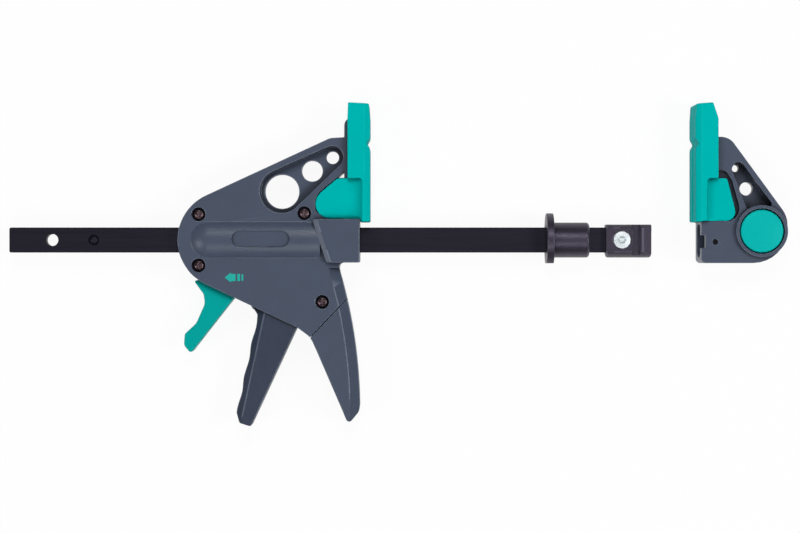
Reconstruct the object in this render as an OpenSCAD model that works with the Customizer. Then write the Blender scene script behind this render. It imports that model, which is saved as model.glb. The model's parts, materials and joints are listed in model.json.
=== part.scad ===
// One-hand table clamp, laid on its side with its jaw taken off.
// X runs along the bar towards the loose jaw, Y points from the bar to the jaw tips and Z is up.
// The origin is the centre of the table spigot's seat, on the axis of the bar.

/* [Bar] */
// Height of the flat bar, across Y
bar_w = 14; // [12:0.5:15]
// Thickness of the flat bar, across Z
bar_t = 6; // [5:0.25:6.5]
// Length of bar behind the spigot seat
bar_back = 304; // [280:1:400]
// Length of bar in front of the spigot seat
bar_front = 46; // [44:0.5:48]
// Diameter of the hanging hole at the rear of the bar
bar_hole_d = 6.7; // [4:0.1:8]
// Distance of the hanging hole from the rear end
bar_hole_inset = 24; // [12:1:30]
// Distance of the stop rivet from the rear end
stop_inset = 47.2; // [40:0.2:55]
// Diameter of the stop rivet's heads
stop_d = 6; // [5:0.5:9]
// Height of the stop rivet's heads
stop_h = 1.6; // [1:0.1:2.4]
// Diameter of the stop rivet's shank
stop_shank_d = 4; // [3:0.5:4.5]

/* [Head housing] */
// Distance from the spigot seat back to the front face of the head
head_gap = 108.1; // [90:0.1:140]
// Half of the housing's depth on its flat sides
housing_half = 11; // [10.6:0.1:12]
// Wall between the flat sides and the chamber
wall = 2; // [1.6:0.1:2.4]
// Half of the nose block's depth
nose_half = 15.2; // [14.6:0.1:16]
// Width of the bevel on the nose block's rear edge
nose_bevel_w = 2.4; // [1:0.1:4]
// Depth of the bevel on the nose block's rear edge
nose_bevel_d = 1; // [0.5:0.1:1.5]
// Height of the nose block above the bar's axis
nose_top = 11.5; // [10.5:0.1:12]
// Depth of the nose block below the bar's axis
nose_bottom = 12.6; // [11:0.1:14]
// Radius of the round rear end
rear_r = 27.2; // [26.5:0.1:29]
// Distance from the front face back to the centre of the round rear end
rear_x = 74; // [73:0.1:76]
// Height of the spring barrel's ridge above the flat sides
ridge_h = 3.2; // [2:0.1:3.4]
// Half of the ridge's width
ridge_half = 10; // [9:0.1:10.8]
// Length of the bare badge recess on the ridge
badge_l = 32; // [20:1:36]
// Width of the bare badge recess on the ridge
badge_w = 9; // [6:0.5:10]
// Depth of the bare badge recess
badge_depth = 1.2; // [0.8:0.1:1.6]
// Diameter of the large hole in the arm
big_hole_d = 19; // [16:0.5:20]
// Diameter of the middle hole in the arm
mid_hole_d = 11.6; // [9:0.2:12]
// Diameter of the small hole in the arm
small_hole_d = 7; // [5:0.2:8]
// Margin of the arm's pocket round its holes
pocket_margin = 2.6; // [1.5:0.1:3]
// Half of the thickness of the web at the bottom of the pockets
web_half = 3; // [2:0.25:5]
// Width of the bevel on the front edge of the fixed handle
grip_bevel_w = 5.5; // [3:0.1:7]
// Depth of the bevel on the front edge of the fixed handle
grip_bevel_d = 4.2; // [2:0.1:6]

/* [Screws of the housing] */
// Diameter of the sunk hole over each screw head
sink_d = 7.6; // [7:0.1:7.7]
// Depth of the sunk hole
sink_depth = 2.6; // [2:0.1:4]
// Diameter of the screw heads
head_d = 5.2; // [4.6:0.1:6.6]
// Height of the screw heads
head_h = 1.6; // [1.2:0.1:2.4]
// Thread diameter of the screws
thread_d = 3; // [2.5:0.1:3.4]
// Depth of the screws below the parting plane
thread_reach = 7.5; // [5:0.25:8.5]
// Diameter of the screw bosses
boss_d = 7.8; // [7.2:0.1:8]

/* [Drive] */
// Distance of the trigger's pivot behind the front face
pivot_x = 42; // [41:0.1:43]
// Distance of the trigger's pivot below the bar's axis
pivot_y = 28; // [27:0.1:29]
// Diameter of the trigger's pin
trigger_pin_d = 5; // [4:0.25:6]
// Half of the trigger's thickness
trigger_half = 8.5; // [7.5:0.1:8.5]
// Half of the trigger's thickness at its hub
hub_half = 6.2; // [5.5:0.1:6.5]
// Width of the bevel on the trigger's finger edge
trigger_bevel_w = 3.4; // [2:0.1:4.5]
// Depth of the bevel on the trigger's finger edge
trigger_bevel_d = 2.8; // [1.5:0.1:3.5]
// Depth of the finger waves on the trigger
finger_wave = 0.4; // [0:0.05:1]
// Radius of the trigger's cam
cam_r = 3; // [2.5:0.1:3.4]
// Thickness of one drive plate
drive_plate_t = 2.6; // [2:0.1:2.8]
// Number of drive plates
drive_plates_n = 2; // [1:1:2]
// Half of the width of the drive and brake plates
plate_half = 7.5; // [6.5:0.1:8]
// Wire diameter of the springs round the bar
coil_wire_d = 1.4; // [1:0.1:1.5]
// Turns of the drive spring
drive_turns = 6; // [4:1:7]
// Turns of the brake spring
brake_turns = 3.5; // [2.5:0.5:4]

/* [Brake and release lever] */
// Thickness of the brake plate
brake_plate_t = 3; // [2:0.1:3.2]
// Lean of the brake plate at rest
brake_lean = 7; // [5:0.5:7]
// Distance of the brake plate's fulcrum behind the front face
fulcrum_x = 82.7; // [82.2:0.1:83]
// Height of the brake plate's fulcrum above the bar's axis
fulcrum_y = 10.5; // [10:0.1:11]
// Distance of the release lever's pivot below the bar's axis
release_y = 23; // [22.5:0.1:23.5]
// Diameter of the release lever's pin
release_pin_d = 4; // [3:0.25:4.5]
// Half of the release lever's thickness
release_half = 6; // [5:0.1:6.2]
// Height of the release finger above its pivot
finger_lift = 11; // [10.5:0.1:11]
// Radius of the release finger's tip
finger_r = 2; // [1.6:0.1:2.2]

/* [Pads] */
// Half of the pads' width
pad_half = 15.5; // [14.6:0.1:18]
// Thickness of a pad from back to clamping face
pad_t = 12.5; // [11:0.1:14]
// Height of the pads' lower end above the bar's axis
pad_low = 10.1; // [10:0.1:10.4]
// Height of the pads' upper end above the bar's axis
pad_top = 76.1; // [72:0.1:90]
// Height of the cross groove in the clamping faces
groove_y = 53.6; // [45:0.1:62]
// Depth of the grooves in the clamping faces
groove_depth = 1.8; // [1:0.1:2.4]
// Half of the grooves' width
groove_half = 3; // [2:0.1:4]
// Top of the tongues that carry the pads
tongue_top = 68; // [64:0.1:69]
// Distance that the head's pad stands in front of the nose
head_proud = 5.8; // [4:0.1:8]
// Distance that the jaw's pad stands in front of the jaw's face
jaw_proud = 3.3; // [2.8:0.1:5]
// Thickness of the pads in front of their tongues
pad_skin = 6.8; // [5.5:0.1:7.5]
// Length of the pads' tops over which they narrow
taper_l = 9; // [6:0.5:10]
// Narrowing at the back of the top of the jaw's pad
jaw_back_taper = 3; // [0.5:0.1:4]
// Narrowing at the front of the top of the jaw's pad
jaw_front_taper = 0.6; // [0.5:0.1:3]
// Narrowing at the front of the top of the head's pad
head_front_taper = 0.6; // [0.3:0.1:3]
// Narrowing at the back of the top of the head's pad
head_back_taper = 0.3; // [0.3:0.1:3]
// Distance from the head's clamping face back to where the pad's side runs down to its lug
head_panel_x = 4.2; // [3.8:0.1:6]
// Length of that run on the head's pad
head_panel_run = 7.5; // [5:0.1:7.6]
// Distance from the jaw's clamping face back to where the pad's side runs down to its lug
jaw_panel_x = 6.3; // [5.9:0.1:6.6]
// Length of that run on the jaw's pad
jaw_panel_run = 2.5; // [1:0.1:3]
// Length of the bevel on the pads' side edges, back from the clamping face
pad_bevel_l = 3.2; // [1:0.1:5]
// Depth of the bevel on the pads' side edges
pad_bevel_d = 1.8; // [0.5:0.1:3]
// Thickness of the pads' side lugs
lug_t = 3; // [2:0.1:3.5]

/* [Table spigot] */
// Diameter of the spigot's flange
flange_d = 30; // [26:0.5:34]
// Thickness of the spigot's flange
flange_t = 4; // [3:0.1:6]
// Distance of the flange's flat from the axis
flange_flat = 13; // [11:0.1:14.5]
// Diameter of the barrel that fits a bench hole
barrel_d = 19.6; // [18.5:0.1:21]
// Length of the barrel
barrel_l = 20; // [12:0.5:22]
// Play between the spigot's bore and the bar's corners
spigot_play = 0.4; // [0.2:0.05:0.6]

/* [End plug] */
// Distance from the spigot seat to the plug's rear end
plug_x = 29.2; // [28:0.1:32]
// Diameter of the plug
plug_d = 19.6; // [19:0.1:19.8]
// Length of the plug
plug_l = 25.4; // [24:0.1:25.6]
// Half of the plug's thickness across its flat sides
plug_half = 7; // [6.8:0.05:7.2]
// Height of the plug's keying flat above the axis
plug_key = 8.6; // [8.2:0.05:8.7]
// Distance from the plug's tip to the far side of its latch groove
latch_inset = 6.4; // [6:0.1:7]
// Width of the plug's latch groove
latch_w = 4.5; // [3:0.1:5]
// Half of the plug's thickness at its latch groove and tip
latch_half = 4.7; // [4.5:0.05:5]
// Distance of the plug's screw from the plug's rear end
plug_screw_x = 8.9; // [8:0.1:8.9]
// Thread diameter of the plug's screw
plug_thread_d = 5; // [4:0.25:5]
// Diameter of the plug's screw head
plug_head_d = 9.9; // [8.5:0.1:10]
// Height of the plug's screw head
plug_head_h = 2.5; // [2:0.1:2.6]
// Width of the plug's nut across its flats
plug_nut_w = 8; // [7:0.1:8]
// Thickness of the plug's nut
plug_nut_h = 2.6; // [2:0.1:2.7]

/* [Jaw] */
// Distance from the spigot seat to the loose jaw's face
jaw_gap = 81.4; // [70:0.1:120]
// Half of the jaw's depth
jaw_half = 12; // [11.6:0.1:12.6]
// Depth of the jaw's foot below the axis
foot_low = 12.9; // [12:0.1:14]
// Height of the jaw's foot above the axis
foot_top = 10.4; // [10.2:0.1:10.8]
// Length of the jaw along the bar
jaw_l = 47.8; // [47:0.1:49]
// Depth of the socket for the end plug
socket_depth = 25.8; // [25.7:0.1:26]
// Distance of the button's centre from the jaw's face
button_x = 33.4; // [33:0.1:34]
// Height of the button's centre above the axis
button_y = 4.8; // [4.2:0.1:5.2]
// Diameter of the button
button_d = 24; // [20:0.1:24.4]
// Gap round the button
button_gap = 0.5; // [0.3:0.05:0.6]
// Outer diameter of the ring round the button
ring_d = 28.8; // [27:0.1:29]
// Height of the ring above the jaw's side
ring_h = 2.6; // [1.5:0.1:3]
// Height of the button's face above the ring
button_proud = 0.5; // [0:0.1:1]
// Thickness of the button
button_t = 4.2; // [3.5:0.1:4.4]
// Travel of the button
button_travel = 2.4; // [1.5:0.1:2.4]
// Diameter of the button's stem
stem_d = 6; // [5:0.1:6.4]
// Wire diameter of the latch spring
latch_wire_d = 2; // [1.6:0.1:2]
// Thickness of the cover over the latch spring
jaw_cover_t = 1.6; // [1.2:0.1:1.8]

/* [Fits] */
// Gap round the bar where it slides
slide_gap = 0.12; // [0.08:0.01:0.2]
// Gap round a turning pin
pin_gap = 0.05; // [0.03:0.01:0.1]
// Gap round a pressed or screwed piece
press_gap = 0.02; // [0.01:0.005:0.05]
// Gap round a soft pad or a seated insert
seat_gap = 0.1; // [0.05:0.01:0.2]
// Gap between the trigger's cam and the drive plates, and round the latch spring
cam_gap = 0.12; // [0.08:0.01:0.3]
// Gap between the plug and the jaw's socket
socket_gap = 0.15; // [0.1:0.01:0.2]

/* [Hidden] */
$fn = 96;
// Overshoot of every cutting tool past the face that it opens
past = 2;
// Half of the height of a cut that goes right through
through = 60;

slate = "#4c5465";
black = "#25242f";
teal = "#04aea9";
steel = "#5b5d62";
zinc = "#c9ccd0";

// Outlines are drawn from the head's front face and from the jaw's face, on the bar's axis.
// Each corner is [x, y, radius].
arm_crest = [-16.4, 56.6];
rear_centre = [-rear_x, 0];
neck_x = -11.9;
nose_rear_top = -26.3;
nose_rear_low = -18.4;
ridge_front = -22;
chin = [-34.7, -48.7];
grip_root = [-27.2, -54.2];
grip_heel = [-0.4, -95.6];
grip_end = [-6.3, -102.5];
// The fixed handle's front edge is an arc between these ends
grip_neck = [-11, -17.6];
grip_low = [0.1, -91.6];
grip_r = 279.3;
grip_half = (grip_neck - grip_low) / 2;
grip_centre = grip_low + grip_half
    - sqrt(grip_r * grip_r - grip_half * grip_half) * unit([grip_half.y, -grip_half.x]);
grip_from = atan2(grip_low.y - grip_centre.y, grip_low.x - grip_centre.x);
grip_to = atan2(grip_neck.y - grip_centre.y, grip_neck.x - grip_centre.x);
// The near cover ends on this line across the fixed handle's root
parting_low = [-26.9, -53.9];
parting_high = [-8.6, -34.5];
parting_gap = 0.3;
trigger_corners = [
    [-60.6, -103.9, 1.2], [-34.9, -48.8, 0], [-33.8, -44, 3], [-35.4, -30, 2], [-50, -28, 2],
    [-62.4, -31.5, 1], [-60.4, -37, 2], [-57.2, -41.5, 2]
];
trigger_toe = [-67, -101.8, 2];
wave_l = 18;
release_corners = [
    [-92.4, -22.9, 0.8], [-87.2, -30, 5], [-86.4, -35.5, 7], [-91.3, -46.5, 8], [-97.7, -52.4, 3],
    [-98.1, -58.8, 3.5], [-94.3, -63.3, 1.5], [-70.1, -32.4, 2], [-70.6, -24, 4]
];
release_top = [-87.5, -21.6, 1];
lug_corners = [[2.9, 14.4, 1.5], [20.5, 5]];
jaw_pocket = [[20.8, 45.4, 3], [16.8, 39.6, 2], [25.2, 17.2, 1], [40.4, 18.6, 1.5]];
jaw_lug_recess = [[13.5, 38.5, 3], [17, 33, 4], [23.5, 10.4, 7]];
jaw_lid = [[6.5, -8.6, 3], [6.5, 7, 3], [39, 7, 4], [44.4, 2.5, 3], [44.4, -4, 3], [39, -8.6, 4]];
// The trigger's finger edge runs between these points
finger_top = [-57.3, -44];
finger_low = [-68.5, -96];

big_hole = [-43.4, 27];
mid_hole = [-26.6, 38.5];
small_hole = [-15.2, 46];
screw_places = [[-89.5, 14.2], [-30.8, 14.8], [-89.5, -14.2], [-20.8, -34.5]];

chamber_half = housing_half - wall;
chamber_rear = -rear_x - rear_r + 4.2;
chamber_front = -33;
swing_front = -26.5;
slot_rear = chamber_rear + 3.5;
cheek_front = -69;
cheek_top = -18;
chamber_roof = 12.5;
bar_corner = norm([bar_w, bar_t]) / 2;
coil_r = bar_corner + 0.9 + coil_wire_d / 2;
barrel_bore_r = coil_r + coil_wire_d / 2 + 0.4;
pivot = [-pivot_x, -pivot_y];
hub_r = 8.5;
pivot_boss_r = 6;
cam = [-pivot_x, -bar_w / 2 - 0.5 - cam_r];
plates_front = -pivot_x - cam_r - cam_gap;
plate_pitch = drive_plate_t + 0.1;
plates_rear = plates_front - drive_plates_n * plate_pitch;
seat_front = -72.9;
seat_t = 2.4;
lean_slope = tan(brake_lean);
finger_y = finger_lift - release_y;
finger_x = -fulcrum_x + (fulcrum_y - finger_y) * lean_slope
    + (brake_plate_t / 2 + finger_r) / cos(brake_lean) + cam_gap;
release_pivot = [finger_x, -release_y];
release_boss_r = 5;
brake_drop = (fulcrum_y - finger_y + 1.2) / cos(brake_lean);
pin_half = chamber_half + wall - 0.8;
sink_floor = housing_half - sink_depth;
ridge_r = (ridge_half * ridge_half + ridge_h * ridge_h) / (2 * ridge_h);
ridge_z = housing_half + ridge_h - ridge_r;
ridge_rear = -93.9;
badge_x = -54.9;

tongue_front = head_proud - pad_skin;
tongue_back = -8.6;
lug_front = -1.1;
lug_root = 4;
lug_floor = housing_half - lug_t;
lug_top = 34.2;
jaw_tongue_front = pad_skin - jaw_proud;
jaw_tongue_back = 8.7;
jaw_lug_root = 3;
jaw_lug_floor = jaw_half - lug_t;

plug_r = plug_d / 2;
plug_end = plug_x + plug_l;
plug_seat = plug_half - plug_head_h - 0.1;
nut_seat = plug_half - plug_nut_h - 0.1;
latch_to = plug_end - latch_inset;
// The jaw is home when its face lies this far past the plug's rear end
home_gap = 0.4;
latch_x = latch_to - latch_w / 2 - plug_x - home_gap;
wire_r = latch_wire_d / 2;
button_top = jaw_half + ring_h + button_proud;
button_low = button_top - button_t;
button_floor = button_low - button_travel - 0.3;
wire_z = -plug_half - socket_gap - 0.5 - wire_r;
latch_z = -latch_half - 0.15 - wire_r;
wire_arms = [3.4, -5];
wire_end = 36.5;
cover_screw_places = [[9.5, -0.8], [41, -0.8]];
cover_screw_d = 2.2;
jaw_crest = [15.6, 57.2];
jaw_shoulder = 13.2;
jaw_mid_hole = [26.3, 28.6];
jaw_small_hole = [20.2, 40];
stem_low = wire_z + wire_r + cam_gap;

function unit(v) = v / norm(v);

function corner_arc(before, corner, after, r, steps) =
    let (
        u = unit(before - corner),
        w = unit(after - corner),
        half = acos(u * w) / 2,
        centre = corner + unit(u + w) * r / sin(half),
        from = corner + u * r / tan(half) - centre,
        to = corner + w * r / tan(half) - centre,
        a = atan2(from.y, from.x),
        turn = atan2(to.y, to.x) - a,
        sweep = turn > 180 ? turn - 360 : turn < -180 ? turn + 360 : turn
    )
    [for (i = [0:steps]) centre + r * [cos(a + sweep * i / steps), sin(a + sweep * i / steps)]];

// Turns a list of [x, y, radius] corners into an outline with round corners
function rounded(corners, steps = 6) =
    let (n = len(corners), p = [for (c = corners) [c.x, c.y]])
    [for (i = [0:n - 1])
        each corners[i].z > 0
            ? corner_arc(p[(i + n - 1) % n], p[i], p[(i + 1) % n], corners[i].z, steps)
            : [p[i]]];

// Angle at which a line from a point touches a circle, on one side or the other
function touch(centre, r, point, side) =
    let (d = point - centre) atan2(d.y, d.x) + side * acos(r / norm(d));

function arc(centre, r, from, to, steps) =
    [for (i = [0:steps]) let (a = from + (to - from) * i / steps) centre + r * [cos(a), sin(a)]];

module at_head() translate([-head_gap, 0, 0]) children();
module at_jaw() translate([jaw_gap, 0, 0]) children();
module at(p) translate([p.x, p.y, 0]) children();
module along_x(x) translate([x, 0, 0]) rotate([0, 90, 0]) children();
module both_sides() for (side = [0, 1]) mirror([0, 0, side]) children();
module slab(low, high) translate([0, 0, low]) linear_extrude(high - low) children();

// Outline of two circles and the straight sides that touch both
module teardrop(a, ra, b, rb) {
    d = b - a;
    heading = atan2(d.y, d.x);
    open = acos((ra - rb) / norm(d));
    polygon(concat(
        arc(a, ra, heading + open, heading + 360 - open, 24),
        arc(b, rb, heading - open, heading + open, 16)
    ));
}

// A tube of round wire through a list of points, with one ring of corners at each point
module wire(points, r, sides) {
    n = len(points);
    tangents = [for (i = [0:n - 1]) unit(points[min(i + 1, n - 1)] - points[max(i - 1, 0)])];
    guide = abs(tangents[0].x) < 0.8 ? [1, 0, 0] : [0, 0, 1];
    rings = [for (i = [0:n - 1])
        let (
            side = unit(cross(tangents[i], abs(tangents[i] * guide) > 0.95 ? [0, 1, 0] : guide)),
            up = cross(side, tangents[i])
        )
        for (k = [0:sides - 1])
            points[i] + r * (cos(360 * k / sides) * side + sin(360 * k / sides) * up)];
    skin = [for (i = [0:n - 2], k = [0:sides - 1])
        let (a = i * sides + k, b = i * sides + (k + 1) % sides)
        each [[a, b, b + sides], [a, b + sides, a + sides]]];
    first = [for (k = [1:sides - 2]) [0, k + 1, k]];
    last = [for (k = [1:sides - 2]) let (o = (n - 1) * sides) [o, o + k, o + k + 1]];
    polyhedron(points = rings, faces = concat(skin, first, last));
}

// A coil spring round the bar, from one X to another, between the middles of its end turns
module coil(from, to, turns) {
    steps = ceil(turns * 10);
    path = [for (i = [0:steps])
        let (t = i / steps, a = 360 * turns * t)
        [from + (to - from) * t, coil_r * cos(a), coil_r * sin(a)]];
    wire(path, coil_wire_d / 2, 6);
}

function corners_of(points) = [for (p = points) [p.x, p.y, 0]];

// Outline of the head: round rear, arm, pad tongue, nose and fixed handle
module head_outline() {
    polygon(rounded(concat(
        corners_of(arc(rear_centre, rear_r, 360 + touch(rear_centre, rear_r, chin, -1),
            touch(rear_centre, rear_r, arm_crest, 1), 24)),
        [
            [arm_crest.x, arm_crest.y, 8],
            [tongue_back, arm_crest.y + 0.4, 0],
            [tongue_back, tongue_top, 4.5],
            [tongue_front, tongue_top, 1],
            [tongue_front, nose_top, 0],
            [0, nose_top, 1],
            [0, -nose_bottom, 1],
            [neck_x, -nose_bottom, 2.5]
        ],
        corners_of(arc(grip_centre, grip_r, grip_to, grip_from, 12)),
        [
            [grip_heel.x, grip_heel.y, 5],
            [grip_end.x, grip_end.y, 1.8],
            [grip_root.x, grip_root.y, 12],
            [chin.x, chin.y, 5]
        ]
    )));
}

// The side of the parting line that holds the fixed handle
module grip_zone(gap = 0) {
    run = unit(parting_high - parting_low);
    out = gap * [-run.y, run.x];
    polygon([parting_low - 20 * run + out, parting_high + 20 * run + out, [40, -140], [-80, -140]]);
}

module nose_outline()
    polygon(rounded([
        [nose_rear_top, nose_top, 1],
        [0, nose_top, 1],
        [0, -nose_bottom, 1],
        [nose_rear_low, -nose_bottom, 1]
    ]));

// Nose block round the bar, with a bevel along its slanting rear edge
module nose() {
    run = [nose_rear_low - nose_rear_top, -nose_bottom - nose_top];
    slope = nose_bevel_w / nose_bevel_d;
    difference() {
        slab(0, nose_half) nose_outline();
        translate([nose_rear_top, nose_top, 0])
            rotate([0, 0, atan2(run.y, run.x)])
                rotate([90, 0, 90])
                    slab(-past, norm(run) + past)
                        polygon([
                            [-past, nose_half - nose_bevel_d - past / slope],
                            [nose_bevel_w + past * slope, nose_half + past],
                            [-past, nose_half + past]
                        ]);
    }
}

module chamber_outline()
    polygon(rounded([
        [chamber_rear, chamber_roof - 4.5, 2],
        [chamber_rear + 4, chamber_roof, 2],
        [chamber_front, chamber_roof, 1],
        [chamber_front, -31, 2],
        [swing_front, -37, 3],
        [swing_front, -47, 0],
        [grip_root.x + 0.2, grip_root.y, 0],
        [grip_root.x + 0.2, -80, 0],
        [slot_rear, -80, 0],
        [slot_rear, -17, 2],
        [chamber_rear, -9, 2]
    ]));

// Side lug of the head's pad; the margin widens it into the housing's recess
module head_lug(margin = 0)
    polygon(rounded([
        [lug_front + 3 * sign(margin), nose_top + seat_gap * (1 - sign(margin)), 0],
        [lug_front + 3 * sign(margin), lug_top + margin, margin > 0 ? 0 : 1.5],
        [-12.4, lug_top + margin, 2],
        [-39.5 - 4 * margin, nose_top + seat_gap * (1 - sign(margin)), 8.4 + margin]
    ]));

// Ridge of the spring barrel along the side, with a domed rear end
module ridge() {
    dome_x = ridge_rear + ridge_half;
    intersection() {
        union() {
            translate([dome_x, 0, ridge_z])
                rotate([0, 90, 0]) cylinder(r = ridge_r, h = ridge_front - dome_x);
            translate([dome_x, 0, ridge_z]) rotate([90, 0, 0]) sphere(r = ridge_r);
        }
        translate([ridge_rear - 1, -ridge_half - 1, housing_half - 0.5])
            cube([ridge_front + past - ridge_rear, 2 * ridge_half + 2, ridge_h + past]);
    }
}

// Sloping cut along the fixed handle's front edge, on the near side
module grip_bevel() {
    slope = grip_bevel_d / grip_bevel_w;
    out = grip_r + past;
    intersection() {
        translate(grip_centre)
            rotate_extrude($fn = 360)
                polygon([
                    [grip_r - grip_bevel_w, housing_half],
                    [out, housing_half - slope * (grip_bevel_w + past)],
                    [out, housing_half + past],
                    [grip_r - grip_bevel_w, housing_half + past]
                ]);
        translate([-30, -130, 0]) cube([40, 130 - nose_bottom - 3, through]);
    }
}

// The near half of the head, solid, with its pockets cut
module half_head() {
    difference() {
        union() {
            slab(0, housing_half) head_outline();
            nose();
            ridge();
        }
        slab(web_half, through)
            teardrop(big_hole, big_hole_d / 2 + pocket_margin, small_hole, small_hole_d / 2 + pocket_margin);
        slab(lug_floor - seat_gap, through) head_lug(0.4);
        grip_bevel();
    }
}

// Chamber for the mechanism, with its spring barrel, as a cut
module half_chamber() {
    slab(-past, chamber_half) chamber_outline();
    along_x(chamber_rear) cylinder(r = barrel_bore_r, h = plates_front - 1 - chamber_rear);
}

// Bosses, spring seat, fulcrum and lever cheeks that stand in the chamber
module half_ribs() {
    for (p = [screw_places[0], screw_places[2]])
        at(p) cylinder(d = boss_d, h = chamber_half + 0.5);
    at(pivot) translate([0, 0, hub_half + 0.3])
        cylinder(r = pivot_boss_r, h = chamber_half + 0.5 - hub_half - 0.3);
    slab(0, chamber_half + 0.5)
        translate([seat_front - seat_t, finger_y + finger_r + 0.4])
            square([seat_t, chamber_roof + 1 - finger_y - finger_r - 0.4]);
    slab(0, chamber_half + 0.5)
        translate([-fulcrum_x + brake_plate_t / 2 / cos(brake_lean) + cam_gap + 0.1, fulcrum_y - 0.6])
            square([2.5, chamber_roof + 1 - fulcrum_y]);
    slab(release_half + 0.3, chamber_half + 0.5)
        intersection() {
            head_outline();
            translate([slot_rear - 1, -80]) square([cheek_front - slot_rear + 1, 80 + cheek_top]);
        }
}

// Bar slot, pin sockets and the three holes of the arm, as cuts through both halves
module head_bores() {
    translate([-rear_x - rear_r - past, -bar_w / 2 - slide_gap, -bar_t / 2 - slide_gap])
        cube([rear_x + rear_r + 2 * past, bar_w + 2 * slide_gap, bar_t + 2 * slide_gap]);
    at(pivot)
        translate([0, 0, -pin_half - seat_gap])
            cylinder(d = trigger_pin_d + 2 * press_gap, h = 2 * pin_half + 2 * seat_gap);
    at(release_pivot)
        translate([0, 0, -pin_half - seat_gap])
            cylinder(d = release_pin_d + 2 * press_gap, h = 2 * pin_half + 2 * seat_gap);
    at(big_hole) cylinder(d = big_hole_d, h = 2 * through, center = true);
    at(mid_hole) cylinder(d = mid_hole_d, h = 2 * through, center = true);
    at(small_hole) cylinder(d = small_hole_d, h = 2 * through, center = true);
    slab(-through, through)
        polygon([[tongue_back, lug_top + 0.4], [tongue_back, lug_top + 4], [tongue_back - 4, lug_top + 0.4]]);
}

// Far half of the head, with the whole of the fixed handle
module rear_housing() color(slate) at_head()
    difference() {
        union() {
            mirror([0, 0, 1]) difference() {
                half_head();
                half_chamber();
            }
            mirror([0, 0, 1]) half_ribs();
            intersection() {
                half_head();
                slab(-1, through) grip_zone();
            }
        }
        head_bores();
        for (p = screw_places) at(p)
            translate([0, 0, -thread_reach - 0.5])
                cylinder(d = thread_d + 2 * press_gap, h = thread_reach + 0.5 + past);
    }

// Near half of the head, which ends at the parting line on the handle
module front_cover() color(slate) at_head()
    difference() {
        union() {
            difference() {
                half_head();
                half_chamber();
            }
            half_ribs();
        }
        slab(-1, through) grip_zone(parting_gap);
        head_bores();
        for (p = screw_places) at(p) {
            translate([0, 0, -1]) cylinder(d = thread_d + 2 * seat_gap, h = through);
            translate([0, 0, sink_floor]) cylinder(d = sink_d, h = through);
        }
        slab(housing_half + ridge_h - badge_depth, through)
            teardrop([badge_x - (badge_l - badge_w) / 2, 0.5], badge_w / 2,
                [badge_x + (badge_l - badge_w) / 2, 0.5], badge_w / 2);
    }

module housing_screws() color(black) at_head()
    for (p = screw_places) at(p)
        difference() {
            union() {
                translate([0, 0, sink_floor]) cylinder(d = head_d, h = head_h);
                translate([0, 0, -thread_reach]) cylinder(d = thread_d, h = thread_reach + sink_floor);
            }
            for (turn = [0, 30])
                rotate([0, 0, turn])
                    translate([0, 0, sink_floor + head_h - head_h * 0.6])
                        cylinder(d = head_d * 0.42, h = past + head_h, $fn = 6);
        }

// A jaw pad with its clamping face at X 0, facing +X, and its pocket for the tongue.
// proud is how far it stands in front of the block below it, and half the carrier's half-depth.
// front and back are how far its top narrows, and its sides run down to the lugs from panel over run.
module pad_block(proud, block_top, half, front, back, panel, run) {
    floor_z = half + 2 * seat_gap;
    rise = pad_half - floor_z;
    cove_r = (run * run + rise * rise) / (2 * rise);
    cove = arc([-panel - run, floor_z + cove_r], cove_r, -90, -90 + asin(run / cove_r), 10);
    difference() {
        intersection() {
            slab(-pad_half, pad_half)
                polygon(rounded([
                    [-pad_t, block_top + seat_gap, 0],
                    [-pad_t, pad_top - taper_l, taper_l],
                    [back - pad_t, pad_top, 0.8],
                    [-front, pad_top - front, 0.8],
                    [0, pad_top - taper_l, taper_l],
                    [0, groove_y + groove_half, 0],
                    [-groove_depth, groove_y, 0],
                    [0, groove_y - groove_half, 0],
                    [0, pad_low, 0.8],
                    [seat_gap - proud, pad_low, 0],
                    [seat_gap - proud, block_top + seat_gap, 0]
                ]));
            rotate([90, 0, 0])
                slab(-through - 40, through)
                    polygon([
                        [-pad_t - 1, -pad_half],
                        [-pad_bevel_l, -pad_half],
                        [0, -pad_half + pad_bevel_d],
                        [0, pad_half - pad_bevel_d],
                        [-pad_bevel_l, pad_half],
                        [-pad_t - 1, pad_half]
                    ]);
        }
        rotate([90, 0, 0])
            slab(-groove_y, through)
                polygon([[past, -groove_half - past * groove_half / groove_depth], [-groove_depth, 0],
                    [past, groove_half + past * groove_half / groove_depth]]);
        both_sides() intersection() {
            slab(floor_z, through)
                polygon(rounded([
                    [-pad_t - past, 0, 0],
                    [-pad_t - past, lug_top, 0],
                    [-panel, lug_top, 2],
                    [-panel, 0, 0]
                ]));
            rotate([90, 0, 0])
                slab(-lug_top - past, past)
                    polygon(concat(
                        [[-pad_t - 2 * past, pad_half + past], [-pad_t - 2 * past, floor_z]],
                        cove,
                        [[-panel, pad_half + past]]
                    ));
        }
        translate([-pad_t - past, 0, -half - seat_gap])
            cube([pad_t + past - pad_skin + seat_gap, tongue_top + seat_gap, 2 * (half + seat_gap)]);
    }
}

module head_pad() color(teal) at_head() {
    translate([head_proud, 0, 0])
        pad_block(head_proud, nose_top, housing_half, head_front_taper, head_back_taper,
            head_panel_x, head_panel_run);
    both_sides() slab(lug_floor, housing_half + 2 * seat_gap) {
        head_lug();
        translate([lug_front - lug_root, nose_top + seat_gap])
            square([lug_root + head_proud - head_panel_x - lug_front, lug_top - nose_top - seat_gap]);
    }
}

module trigger_pin() color(steel) at_head() at(pivot)
    cylinder(d = trigger_pin_d, h = 2 * pin_half, center = true);

module release_pin() color(steel) at_head() at(release_pivot)
    cylinder(d = release_pin_d, h = 2 * pin_half, center = true);

module drive_spring() color(steel) at_head()
    coil(seat_front + coil_wire_d / 2 + cam_gap, plates_rear - coil_wire_d / 2 - cam_gap, drive_turns);

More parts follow.
